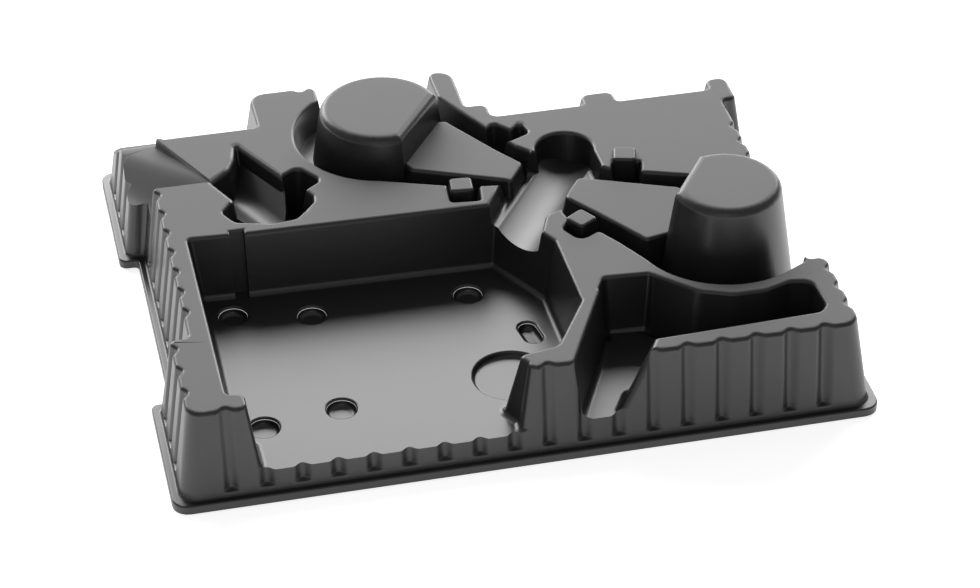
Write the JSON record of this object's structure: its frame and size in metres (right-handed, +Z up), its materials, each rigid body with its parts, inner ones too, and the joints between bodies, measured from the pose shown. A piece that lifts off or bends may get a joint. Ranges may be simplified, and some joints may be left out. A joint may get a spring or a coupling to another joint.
{
  "type": "tool case insert",
  "caption": "Vacuum-formed tray of dark plastic that fills a tool case, with fluted outer walls, a big open pocket, an open chute, a deep side pocket and round towers ringed by channels.",
  "frame": {"origin": "centre of the bounding box at the rest plane, under the foot of the lip", "axes": "+X to the right along the front edge with the open tray lip, +Y to the back, +Z up"},
  "size_m": [0.386, 0.32, 0.086],
  "materials": {
    "sheet": "satin black vacuum-formed sheet, slightly glossier where it was stretched"
  },
  "bodies": {
    "root": {"insert_tray": "sheet"}
  },
  "joints": []
}
